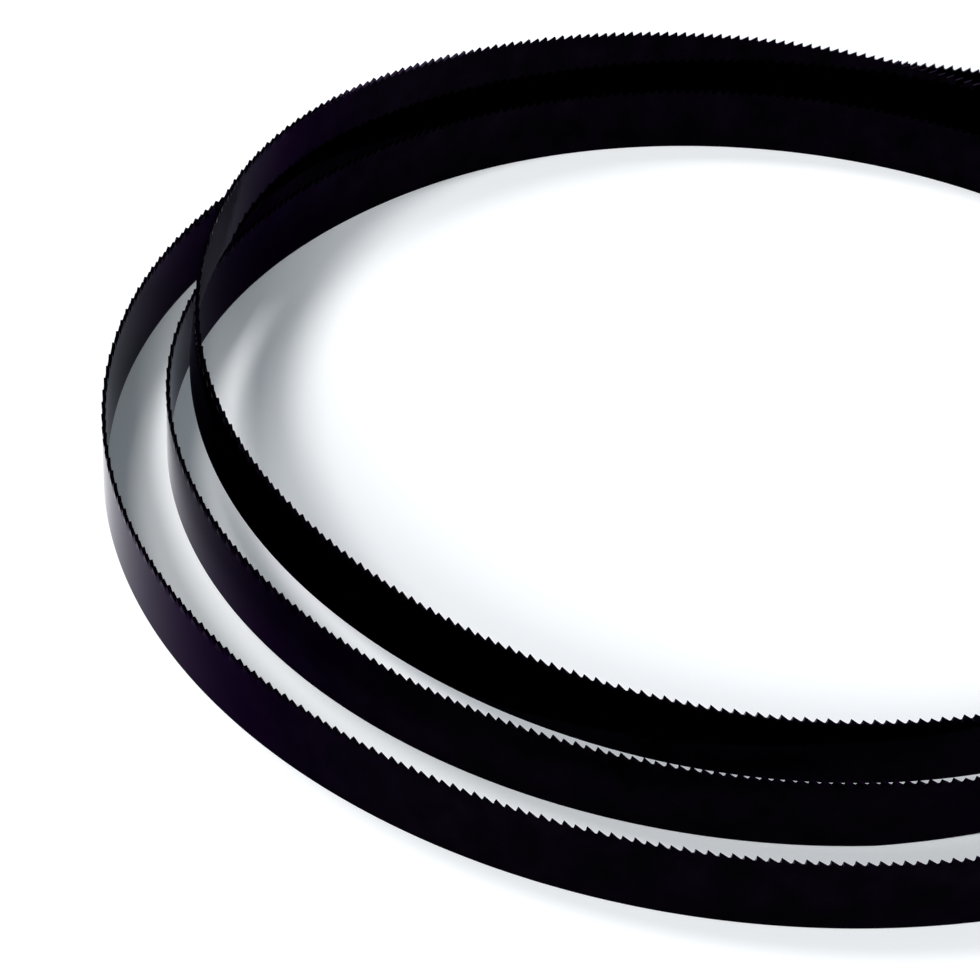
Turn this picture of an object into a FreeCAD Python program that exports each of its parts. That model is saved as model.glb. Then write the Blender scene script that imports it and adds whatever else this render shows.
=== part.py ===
import FreeCAD, Part
import bisect
import math
import os

# A band saw blade at rest: one welded loop of toothed steel band, folded into a coil
# of three turns that lies on its back edge with the teeth up. Millimetres, +Z up.
# The origin is on the floor, under the middle of the coil.
#
# The three turns lie in three lanes, outer, middle and inner. At the left crossing
# the strand that goes from the inner to the middle lane climbs over the one that goes
# from the middle to the inner lane. At the right crossing the strand that goes from
# the outer to the middle lane climbs over the one that goes out to the outer lane.

SIZES = (
    # The band: half an inch wide, with fourteen teeth to the inch.
    ("band_width", "13"),
    ("band_thickness", "0.65"),
    ("tooth_pitch", "1.8143"),
    ("tooth_depth", "0.95"),
    ("tooth_rake_run", "0.22"),
    ("tooth_set", "0.18"),
    # The lanes: circles, each with a radius and a centre to the right and to the back.
    ("outer_lane_radius", "118.9"),
    ("outer_lane_right", "2.5"),
    ("outer_lane_back", "-6.6"),
    ("middle_lane_radius", "106.4"),
    ("inner_lane_radius", "98.2"),
    ("inner_lane_right", "-3.8"),
    ("inner_lane_back", "2.5"),
    # The crossings: where they are, in degrees from the front by way of the left, and
    # over how many degrees to either side a strand changes its lane and its height.
    ("crossing_clearance", "0.8"),
    ("left_crossing_angle", "109"),
    ("left_change_spread", "34"),
    ("left_rise_spread", "180"),
    ("right_crossing_angle", "252"),
    ("right_inward_spread", "45"),
    ("right_outward_spread", "180"),
    ("right_rise_spread", "100"),
)

FULL_TURN = 360.0
LOOP_ANGLE = 3 * FULL_TURN
LINE_STEPS = 2160
TEETH_PER_FLAT = 4


def make_sheet(doc):
    """The spreadsheet of driving dimensions, one row each."""
    sheet = doc.addObject("Spreadsheet::Sheet", "Sizes")
    for row, (alias, value) in enumerate(SIZES, start=1):
        sheet.set("A%d" % row, alias)
        sheet.set("B%d" % row, value)
        sheet.setAlias("B%d" % row, alias)
    doc.recompute()
    return sheet


def change(angle, middle, spread):
    """Goes from 0 to 1 about the middle angle, with no sudden bend at either end."""
    share = min(max((angle - middle) / (2 * spread) + 0.5, 0.0), 1.0)
    return share ** 3 * (10 - 15 * share + 6 * share ** 2)


def rise(angle, crest, spread):
    """A smooth hump along the loop: 1 at its crest and 0 beyond its spread."""
    away = (angle - crest + LOOP_ANGLE / 2) % LOOP_ANGLE - LOOP_ANGLE / 2
    return max(1 - (away / spread) ** 2, 0.0) ** 3


def lane_share(angle, enters, enter_spread, leaves, leave_spread):
    """How far a strand is in a lane: 1 well inside it, less while it changes lanes."""
    return sum(
        change(angle - lap, enters, enter_spread) - change(angle - lap, leaves, leave_spread)
        for lap in (0.0, LOOP_ANGLE)
    )


def coil_point(sheet, angle):
    """The point of the band's middle line at an angle that runs through all three
    turns: 0 at the front, 90 at the left, 180 at the back and 270 at the right."""
    left = sheet.left_crossing_angle
    right = sheet.right_crossing_angle

    outer = lane_share(angle, right - FULL_TURN, sheet.right_outward_spread,
                       right, sheet.right_inward_spread)
    inner = lane_share(angle, FULL_TURN + left, sheet.left_change_spread,
                       2 * FULL_TURN + left, sheet.left_change_spread)
    middle = 1 - outer - inner

    radius = (outer * sheet.outer_lane_radius + middle * sheet.middle_lane_radius
              + inner * sheet.inner_lane_radius)
    centre_x = outer * sheet.outer_lane_right + inner * sheet.inner_lane_right
    centre_y = outer * sheet.outer_lane_back + inner * sheet.inner_lane_back

    lift = (rise(angle, right, sheet.right_rise_spread)
            + rise(angle, 2 * FULL_TURN + left, sheet.left_rise_spread))
    height = sheet.band_width / 2 + lift * (sheet.band_width + sheet.crossing_clearance)

    turned = math.radians(angle)
    return FreeCAD.Vector(centre_x - radius * math.sin(turned),
                          centre_y - radius * math.cos(turned), height)


def measure_line(sheet):
    """The length of the band's middle line, step by step along the loop."""
    line = [coil_point(sheet, LOOP_ANGLE * step / LINE_STEPS) for step in range(LINE_STEPS + 1)]
    lengths = [0.0]
    for start, end in zip(line, line[1:]):
        lengths.append(lengths[-1] + start.distanceToPoint(end))
    return lengths


def angle_at(lengths, distance):
    """The loop angle at a distance along the band's middle line."""
    step = min(bisect.bisect_right(lengths, distance), LINE_STEPS) - 1
    part_step = (distance - lengths[step]) / (lengths[step + 1] - lengths[step])
    return LOOP_ANGLE * (step + part_step) / LINE_STEPS


def station(sheet, angle):
    """A point of the middle line with two directions: up across the band's width and
    out through its thickness. A band bends only through its thickness, so its width
    stands square to the way the line bends, and the strand leans where it climbs."""
    nearby = LOOP_ANGLE / LINE_STEPS
    before = coil_point(sheet, angle - nearby)
    point = coil_point(sheet, angle)
    after = coil_point(sheet, angle + nearby)
    along = (after - before).normalize()
    up = (before + after - point * 2).cross(along).normalize()
    return point, up, up.cross(along)


def place(place_station, height, side):
    """A point of the band, by its height over the back edge and its side of the middle."""
    point, up, out = place_station
    return point + up * height + out * side


def blend(start, end, share):
    """The station that lies part of the way from one station to another."""
    return tuple(a + (b - a) * share for a, b in zip(start, end))


def flat_outlines(sheet, start, end, pitch):
    """The outlines of one flat of the band between two stations: both sides, the back
    edge, and its teeth, which are set to one side and the other by turns."""
    half_thickness = sheet.band_thickness / 2
    back = -sheet.band_width / 2
    root = sheet.band_width / 2 - sheet.tooth_depth
    tip = sheet.band_width / 2
    rake_share = sheet.tooth_rake_run / pitch

    backs = []
    roots = []
    tips = []
    for side in (half_thickness, -half_thickness):
        backs.append((place(start, back, side), place(end, back, side)))
        root_line = (place(start, root, side), place(end, root, side))
        roots.append([root_line[0] + (root_line[1] - root_line[0]) * (tooth / TEETH_PER_FLAT)
                      for tooth in range(TEETH_PER_FLAT)] + [root_line[1]])
        tips.append([place(blend(start, end, (tooth + 1 - rake_share) / TEETH_PER_FLAT), tip,
                           side + sheet.tooth_set * (-1) ** tooth)
                     for tooth in range(TEETH_PER_FLAT)])

    outlines = []
    for (back_start, back_end), root_points, tip_points in zip(backs, roots, tips):
        outlines.append([back_start, back_end, root_points[0]])
        outlines.append([back_end] + root_points[::-1])
        for tooth, point in enumerate(tip_points):
            outlines.append([root_points[tooth], root_points[tooth + 1], point])

    outlines.append([backs[0][0], backs[0][1], backs[1][1]])
    outlines.append([backs[0][0], backs[1][1], backs[1][0]])
    for tooth in range(TEETH_PER_FLAT):
        outer_tip, inner_tip = tips[0][tooth], tips[1][tooth]
        outlines.append([roots[0][tooth], roots[1][tooth], outer_tip])
        outlines.append([roots[1][tooth], inner_tip, outer_tip])
        outlines.append([outer_tip, inner_tip, roots[0][tooth + 1]])
        outlines.append([inner_tip, roots[1][tooth + 1], roots[0][tooth + 1]])
    return outlines


def blade_solid(sheet):
    """The closed toothed band. The loop holds a whole, even number of teeth, so each
    tooth is set the other way from the one before it all the way round."""
    lengths = measure_line(sheet)
    length = lengths[-1]
    flats = 2 * round(length / (2 * TEETH_PER_FLAT * sheet.tooth_pitch))
    pitch = length / (flats * TEETH_PER_FLAT)
    stations = [station(sheet, angle_at(lengths, length * flat / flats)) for flat in range(flats)]

    faces = []
    for start, end in zip(stations, stations[1:] + stations[:1]):
        for outline in flat_outlines(sheet, start, end, pitch):
            faces.append(Part.Face(Part.makePolygon(outline + outline[:1])))
    skin = Part.makeCompound(faces)
    skin.sewShape()
    solid = Part.Solid(skin.Shells[0])
    return solid if solid.Volume > 0 else solid.reversed()


def add_blade(doc, sheet):
    """The blade as the document's one piece, set on the floor about the origin."""
    blade = doc.addObject("Part::Feature", "blade")
    blade.Label = "blade"
    blade.Shape = blade_solid(sheet)
    box = blade.Shape.BoundBox
    blade.Placement = FreeCAD.Placement(
        FreeCAD.Vector(-box.Center.x, -box.Center.y, -box.ZMin), FreeCAD.Rotation())
    return blade


def check(doc, pieces):
    """Stops before anything is written if an object failed or a piece isn't sound."""
    for item in doc.Objects:
        if "Invalid" in item.State or "Error" in item.State:
            raise RuntimeError(item.Name + " failed: " + ", ".join(item.State))
    for piece in pieces:
        if piece.Shape.isNull() or not piece.Shape.isValid() or len(piece.Shape.Solids) != 1:
            raise RuntimeError(piece.Label + " is not one sound solid")


doc = FreeCAD.newDocument("band_saw_blade")
pieces = [add_blade(doc, make_sheet(doc))]
doc.recompute()
check(doc, pieces)
os.makedirs("parts", exist_ok=True)
for piece in pieces:
    piece.Shape.exportStep("parts/" + piece.Label + ".step")
    print(piece.Label, "volume", round(piece.Shape.Volume, 1), "box", piece.Shape.BoundBox)
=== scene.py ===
import math

import bpy
import numpy as np
from mathutils import Matrix, Vector


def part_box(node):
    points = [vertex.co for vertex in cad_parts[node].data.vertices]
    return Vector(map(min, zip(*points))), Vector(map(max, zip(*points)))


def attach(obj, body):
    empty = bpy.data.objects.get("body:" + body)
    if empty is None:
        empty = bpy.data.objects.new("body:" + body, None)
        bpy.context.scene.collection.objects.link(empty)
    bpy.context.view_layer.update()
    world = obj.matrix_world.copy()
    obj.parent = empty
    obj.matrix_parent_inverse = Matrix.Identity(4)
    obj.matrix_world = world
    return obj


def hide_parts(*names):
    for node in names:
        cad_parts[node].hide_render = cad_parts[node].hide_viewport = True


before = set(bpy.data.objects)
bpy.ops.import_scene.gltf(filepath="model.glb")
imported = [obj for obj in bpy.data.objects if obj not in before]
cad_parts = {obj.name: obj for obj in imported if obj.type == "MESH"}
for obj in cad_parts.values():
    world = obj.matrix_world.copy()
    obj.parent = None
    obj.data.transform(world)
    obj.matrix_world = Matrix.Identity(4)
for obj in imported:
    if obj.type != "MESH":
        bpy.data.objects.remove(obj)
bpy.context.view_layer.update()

# A band saw blade folded into a flat coil of three turns, on its back edge. The coil's
# line is worked out here in millimetres, as the solid's is, and then put in metres.
MM = 0.001
FULL_TURN = 360.0
LOOP_ANGLE = 3 * FULL_TURN
LINE_STEPS = 12960

# The tooth set is smaller than the solid's: the photo's outlines at the left are smooth.
BAND_WIDTH = 13.0
BAND_THICKNESS = 0.65
TOOTH_PITCH = 1.8143
TOOTH_DEPTH = 0.95
TOOTH_SET = 0.10
EDGE_ROUND = 0.09

# In the solid each flat of the band holds this many teeth, so the tooth count is a
# multiple of twice this number here too.
TEETH_PER_FLAT = 4

# The band stands in three circular lanes, each given by its radius and its centre's x
# and y. An angle along the loop starts at the front and runs by way of the left, the
# back and the right, three times round. Crossings are at these angles, and a spread is
# how far a change of lane or a rise reaches to either side of one.
OUTER_LANE = (118.9, 2.5, -6.6)
MIDDLE_LANE = (106.4, 0.0, 0.0)
INNER_LANE = (98.2, -3.8, 2.5)
CROSSING_LIFT = BAND_WIDTH + 0.8
LEFT_CROSSING = 109.0
LEFT_CHANGE_SPREAD = 34.0
LEFT_RISE_SPREAD = 180.0
RIGHT_CROSSING = 252.0
RIGHT_INWARD_SPREAD = 45.0
RIGHT_OUTWARD_SPREAD = 180.0
RIGHT_RISE_SPREAD = 100.0

# One tooth from gullet to gullet, the way the teeth run round the loop: how far along
# from the gullet's floor, and how high over the root line. A long back rises to the
# tip, and a short hollow face drops from it into the next gullet.
GULLET_START = 0.14
TOOTH_OUTLINE = (
    (0.000, 0.040),
    (0.130, 0.060),
    (0.260, 0.130),
    (1.385, 0.910),
    (1.470, 0.940),
    (1.535, 0.620),
    (1.605, 0.310),
    (1.690, 0.110),
)

# Two rows of points run along each side just under the teeth, this far below the roots.
# The upper one is where the set starts to bend the teeth.
LOWER_ROW_DROP = 0.7
BEND_ROW_DROP = 0.25

# How worn the corners of the back edge are, and the sides next to them, from 0 to 1.
CORNER_WEAR = 1.0
SHOULDER_WEAR = 0.4

# Faces that meet at a sharper turn than this, in degrees, keep a hard edge.
SHARP_ANGLE = 28.0


# The coil's line

def change(angle, middle, spread):
    """Goes from 0 to 1 about the middle angle, with no sudden bend at either end."""
    share = np.clip((angle - middle) / (2 * spread) + 0.5, 0.0, 1.0)
    return share ** 3 * (10 - 15 * share + 6 * share ** 2)


def rise(angle, crest, spread):
    """A smooth hump along the loop: 1 at its crest and 0 beyond its spread."""
    away = (angle - crest + LOOP_ANGLE / 2) % LOOP_ANGLE - LOOP_ANGLE / 2
    return np.maximum(1 - (away / spread) ** 2, 0.0) ** 3


def lane_share(angle, enters, enter_spread, leaves, leave_spread):
    """How far a strand is in a lane: 1 well inside it, less while it changes lanes."""
    return sum(change(angle - lap, enters, enter_spread)
               - change(angle - lap, leaves, leave_spread)
               for lap in (0.0, LOOP_ANGLE))


def coil_points(angle):
    """Points of the band's middle line, in millimetres, for an array of loop angles."""
    outer = lane_share(angle, RIGHT_CROSSING - FULL_TURN, RIGHT_OUTWARD_SPREAD,
                       RIGHT_CROSSING, RIGHT_INWARD_SPREAD)
    inner = lane_share(angle, FULL_TURN + LEFT_CROSSING, LEFT_CHANGE_SPREAD,
                       2 * FULL_TURN + LEFT_CROSSING, LEFT_CHANGE_SPREAD)
    middle = 1 - outer - inner
    lane = (outer[:, None] * OUTER_LANE + middle[:, None] * MIDDLE_LANE
            + inner[:, None] * INNER_LANE)
    radius, centre_x, centre_y = lane.T
    lift = (rise(angle, RIGHT_CROSSING, RIGHT_RISE_SPREAD)
            + rise(angle, 2 * FULL_TURN + LEFT_CROSSING, LEFT_RISE_SPREAD))
    turned = np.radians(angle)
    return np.column_stack((centre_x - radius * np.sin(turned),
                            centre_y - radius * np.cos(turned),
                            BAND_WIDTH / 2 + lift * CROSSING_LIFT))


def unit(vectors):
    return vectors / np.linalg.norm(vectors, axis=1, keepdims=True)


def stations(angle):
    """For each angle the middle line's point, the direction up across the band's width,
    and the direction out through its thickness."""
    nearby = 0.5
    before = coil_points(angle - nearby)
    point = coil_points(angle)
    after = coil_points(angle + nearby)
    along = unit(after - before)
    up = unit(np.cross(before + after - 2 * point, along))
    return point, up, np.cross(up, along)


line_angles = np.linspace(0.0, LOOP_ANGLE, LINE_STEPS + 1)
line_steps = np.diff(coil_points(line_angles), axis=0)
line_lengths = np.concatenate(([0.0], np.cumsum(np.linalg.norm(line_steps, axis=1))))
loop_length = line_lengths[-1]
teeth_at_once = 2 * TEETH_PER_FLAT
tooth_count = teeth_at_once * round(loop_length / (teeth_at_once * TOOTH_PITCH))
pitch = loop_length / tooth_count


# The toothed band

def band_mesh():
    """The closed band as one mesh: rings of ten points each, one ring for every point of
    the tooth outline, from the rounded back edge up both sides to the teeth. With the
    points and faces come each point's wear and its place on the band laid out round."""
    outline = np.array(TOOTH_OUTLINE)
    tooth = np.repeat(np.arange(tooth_count), len(outline))
    offset = np.tile(outline[:, 0], tooth_count)
    tooth_height = np.tile(outline[:, 1], tooth_count)
    distance = (tooth + (GULLET_START + offset) / TOOTH_PITCH) * pitch
    angle = np.interp(distance, line_lengths, line_angles)
    point, up, out = stations(angle)

    half = BAND_THICKNESS / 2
    back = -BAND_WIDTH / 2
    root = BAND_WIDTH / 2 - TOOTH_DEPTH
    lean = TOOTH_SET * (tooth_height / TOOTH_DEPTH) * np.where(tooth % 2 == 0, 1.0, -1.0)
    count = len(tooth)
    level = np.ones(count)

    section = []
    for side in (1.0, -1.0):
        flank = side * half * level
        corner = side * (half - EDGE_ROUND) * level
        column = [
            (back * level, corner, CORNER_WEAR),
            ((back + EDGE_ROUND) * level, flank, SHOULDER_WEAR),
            ((root - LOWER_ROW_DROP) * level, flank, 0.0),
            ((root - BEND_ROW_DROP) * level, flank, 0.0),
            (root + tooth_height, lean + flank, 0.0),
        ]
        section.extend(column if side > 0 else column[::-1])

    places = len(section)
    coords = np.empty((count, places, 3))
    edge_wear = np.empty((count, places))
    band_coords = np.empty((count, places, 3))
    around = 2 * math.pi * distance / loop_length
    loop_radius = loop_length / (2 * math.pi)
    for index, (height, sideways, wear) in enumerate(section):
        coords[:, index] = point + up * height[:, None] + out * sideways[:, None]
        edge_wear[:, index] = wear
        band_coords[:, index] = np.column_stack((loop_radius * np.cos(around),
                                                 loop_radius * np.sin(around),
                                                 height - back))

    here = np.arange(count)[:, None] * places + np.arange(places)[None, :]
    following = np.roll(here, -1, axis=0)
    corners = (here, np.roll(here, -1, axis=1), np.roll(following, -1, axis=1), following)
    quads = np.stack(corners, axis=-1).reshape(-1, 4)
    return coords.reshape(-1, 3), quads, edge_wear.reshape(-1), band_coords.reshape(-1, 3)


coords, quads, edge_wear, band_coords = band_mesh()

# The solid stands about the origin by its bounding box, and so does this mesh.
low, high = (np.array(corner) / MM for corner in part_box("blade"))
shift = (low + high) / 2 - (coords.min(axis=0) + coords.max(axis=0)) / 2
shift[2] = low[2] - coords[:, 2].min()

mesh = bpy.data.meshes.new("toothed_band")
mesh.from_pydata(((coords + shift) * MM).tolist(), [], quads.tolist())
mesh.validate()
mesh.attributes.new("edge_wear", "FLOAT", "POINT").data.foreach_set("value", edge_wear)
mesh.attributes.new("band_coord", "FLOAT_VECTOR", "POINT").data.foreach_set(
    "vector", (band_coords * MM).reshape(-1))
mesh.shade_smooth()
mesh.set_sharp_from_angle(angle=math.radians(SHARP_ANGLE))
blade = bpy.data.objects.new("toothed_band", mesh)
bpy.context.scene.collection.objects.link(blade)


# Materials

OXIDE_DARK = (0.0006, 0.0004, 0.0010, 1)
OXIDE_PALE = (0.0022, 0.0013, 0.0034, 1)
WORN_STEEL = (0.42, 0.40, 0.36, 1)

# How the steel reflects where the view runs nearly along it. A channel much below 0.5
# would come out black there and leave too strong a colour.
EDGE_TINT = (0.537, 0.512, 0.570, 1)

# How far the rolling lines are drawn out along the band, the steel's range of roughness
# from line to line, and the depth of its relief in metres.
ROLLING_STRETCH = (0.012, 0.012, 1.0)
ROUGHNESS = (0.045, 0.095)
BUMP_STRENGTH = 0.2
BUMP_DEPTH = 0.00001

# The floor's and the world's own light. What the camera and reflections see of them is
# brighter than what they give the blade.
FLOOR_WHITE = (0.98, 0.98, 0.985, 1)
FLOOR_GLOW = 0.10
FLOOR_GLOW_COLOUR = (0.86, 1.0, 1.06, 1)
SKY_LIGHT = 0.18
SKY_LIGHT_COLOUR = (0.90, 1.0, 1.12, 1)
SKY_SEEN = 1.0
SKY_SEEN_COLOUR = (1.0, 1.0, 1.0, 1)


def new_material(name):
    material = bpy.data.materials.new(name)
    material.use_nodes = True
    tree = material.node_tree
    return material, tree, tree.nodes["Principled BSDF"]


def add(tree, kind, inputs=None, **properties):
    """A node with its properties set. An input takes a value, or a link from a socket."""
    node = tree.nodes.new(kind)
    for name, value in properties.items():
        setattr(node, name, value)
    for key, value in (inputs or {}).items():
        if isinstance(value, bpy.types.NodeSocket):
            tree.links.new(value, node.inputs[key])
        else:
            node.inputs[key].default_value = value
    return node


def combine(tree, operation, first, second):
    """The result of a maths node."""
    node = add(tree, "ShaderNodeMath", {0: first, 1: second}, operation=operation)
    return node.outputs[0]


def remap(tree, value, given, wanted):
    """The value moved from the given range to the wanted one, and kept inside that."""
    return add(tree, "ShaderNodeMapRange", {
        "Value": value, "From Min": given[0], "From Max": given[1],
        "To Min": wanted[0], "To Max": wanted[1]}).outputs[0]


def mix_colours(tree, share, first, second):
    """A mix node has its colours in inputs 6 and 7, and the mixed one in output 2."""
    return add(tree, "ShaderNodeMix", {0: share, 6: first, 7: second},
               data_type="RGBA").outputs[2]


def noise(tree, place, scale, detail, roughness):
    return add(tree, "ShaderNodeTexNoise", {
        "Vector": place, "Scale": scale, "Detail": detail,
        "Roughness": roughness}).outputs["Fac"]


def seen(tree):
    """1 for what the camera or a reflection sees, and 0 for what only gives light."""
    path = add(tree, "ShaderNodeLightPath")
    return combine(tree, "MAXIMUM", path.outputs["Is Camera Ray"],
                   path.outputs["Is Glossy Ray"])


def steel_material():
    """Smooth steel under a near-black oxide, rubbed bare on the corners of its back."""
    material, tree, shader = new_material("dark_blued_steel")
    link = tree.links.new
    band = add(tree, "ShaderNodeAttribute", attribute_name="band_coord").outputs["Vector"]
    wear = add(tree, "ShaderNodeAttribute", attribute_name="edge_wear").outputs["Fac"]

    # Rolling lines that run along the band: long in the loop's plane, fine in height.
    drawn = add(tree, "ShaderNodeVectorMath", {0: band, 1: ROLLING_STRETCH},
                operation="MULTIPLY").outputs[0]
    lines = noise(tree, drawn, scale=5200.0, detail=3.0, roughness=0.6)
    # Cloudy patches of the oxide, a few millimetres across.
    clouds = noise(tree, band, scale=160.0, detail=4.0, roughness=0.55)
    grain = noise(tree, band, scale=2400.0, detail=2.0, roughness=0.5)

    oxide = add(tree, "ShaderNodeValToRGB", {"Fac": clouds})
    dark, pale = oxide.color_ramp.elements
    dark.position, dark.color = 0.35, OXIDE_DARK
    pale.position, pale.color = 0.70, OXIDE_PALE

    # Only the back's corners are worn enough to show bare steel, and that unevenly.
    worn = remap(tree, wear, (0.45, 0.95), (0.0, 0.85))
    patchy = remap(tree, clouds, (0.30, 0.60), (0.35, 1.0))
    scuffed = combine(tree, "MULTIPLY", worn, patchy)
    link(mix_colours(tree, scuffed, oxide.outputs["Color"], WORN_STEEL),
         shader.inputs["Base Color"])

    link(remap(tree, lines, (0.3, 0.7), ROUGHNESS), shader.inputs["Roughness"])
    shader.inputs["Metallic"].default_value = 1.0
    shader.inputs["Specular Tint"].default_value = EDGE_TINT

    bump = add(tree, "ShaderNodeBump", {
        "Strength": BUMP_STRENGTH, "Distance": BUMP_DEPTH,
        "Height": combine(tree, "ADD", lines, grain)})
    link(bump.outputs["Normal"], shader.inputs["Normal"])
    return material


def floor_material():
    """A white floor that keeps the object's shadow. A little light of its own, seen by
    the camera and in reflections only, lifts it to white without lighting the object."""
    material, tree, shader = new_material("white_floor")
    tree.nodes.remove(shader)
    diffuse = add(tree, "ShaderNodeBsdfDiffuse", {"Color": FLOOR_WHITE})
    glow = add(tree, "ShaderNodeEmission", {
        "Color": FLOOR_GLOW_COLOUR,
        "Strength": combine(tree, "MULTIPLY", seen(tree), FLOOR_GLOW)})
    total = add(tree, "ShaderNodeAddShader", {0: diffuse.outputs[0], 1: glow.outputs[0]})
    tree.links.new(total.outputs[0], tree.nodes["Material Output"].inputs["Surface"])
    return material


blade.data.materials.append(steel_material())
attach(blade, "root")
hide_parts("blade")


# Floor, light and camera

# Half the floor's side in metres, and how far it lies under the blade's back edge, so
# that the two faces don't share one plane.
FLOOR_HALF = 4.0
FLOOR_DROP = 0.00002

floor_mesh = bpy.data.meshes.new("floor")
floor_mesh.from_pydata([(-FLOOR_HALF, -FLOOR_HALF, 0), (FLOOR_HALF, -FLOOR_HALF, 0),
                        (FLOOR_HALF, FLOOR_HALF, 0), (-FLOOR_HALF, FLOOR_HALF, 0)],
                       [], [(0, 1, 2, 3)])
floor = bpy.data.objects.new("floor", floor_mesh)
floor.location.z = -FLOOR_DROP
bpy.context.scene.collection.objects.link(floor)
floor.data.materials.append(floor_material())

world = bpy.data.worlds.new("studio")
bpy.context.scene.world = world
world.use_nodes = True
tree = world.node_tree
background = tree.nodes["Background"]
sky_seen = seen(tree)
tree.links.new(mix_colours(tree, sky_seen, SKY_LIGHT_COLOUR, SKY_SEEN_COLOUR),
               background.inputs["Color"])
tree.links.new(remap(tree, sky_seen, (0.0, 1.0), (SKY_LIGHT, SKY_SEEN)),
               background.inputs["Strength"])


def add_sun(name, azimuth, elevation, strength, size):
    """A soft distant lamp. Azimuth 0 shines from the front and 90 from the left."""
    lamp = bpy.data.lights.new(name, "SUN")
    lamp.energy = strength
    lamp.angle = math.radians(size)
    holder = bpy.data.objects.new(name, lamp)
    around, above = math.radians(azimuth), math.radians(elevation)
    towards = Vector((-math.sin(around) * math.cos(above),
                      -math.cos(around) * math.cos(above), math.sin(above)))
    holder.rotation_mode = "QUATERNION"
    holder.rotation_quaternion = towards.to_track_quat("Z", "Y")
    bpy.context.scene.collection.objects.link(holder)


add_sun("left_key", azimuth=58, elevation=52, strength=1.46, size=14)
add_sun("back_key", azimuth=134, elevation=56, strength=1.04, size=18)
add_sun("front_fill", azimuth=15, elevation=27, strength=1.76, size=22)

# The photograph's viewing angle and framing: the point in the middle of the picture, how
# the view is turned from it, how far back the camera stands, and its lens in pixels.
AIM = Vector((-48.35, -15.53, 0.0)) * MM
ELEVATION = math.radians(36.46)
YAW = math.radians(-1.23)
ROLL = math.radians(-3.08)
DISTANCE = 585.8 * MM
FOCAL_PIXELS = 3386.2
PHOTO_PIXELS = 980
SENSOR = 36.0

forward = Vector((math.sin(YAW) * math.cos(ELEVATION),
                  math.cos(YAW) * math.cos(ELEVATION), -math.sin(ELEVATION)))
level_right = Vector((math.cos(YAW), -math.sin(YAW), 0.0))
level_up = level_right.cross(forward)
right = math.cos(ROLL) * level_right - math.sin(ROLL) * level_up
upward = math.sin(ROLL) * level_right + math.cos(ROLL) * level_up

lens = bpy.data.cameras.new("camera")
lens.sensor_fit = "HORIZONTAL"
lens.sensor_width = SENSOR
lens.lens = FOCAL_PIXELS * SENSOR / PHOTO_PIXELS
lens.clip_start = 0.01
lens.clip_end = 50.0
camera = bpy.data.objects.new("camera", lens)
bpy.context.scene.collection.objects.link(camera)
camera.matrix_world = Matrix.Translation(AIM - DISTANCE * forward) @ Matrix(
    (right, upward, -forward)).transposed().to_4x4()
bpy.context.scene.camera = camera
bpy.context.scene.view_settings.view_transform = "Standard"

bpy.context.view_layer.update()
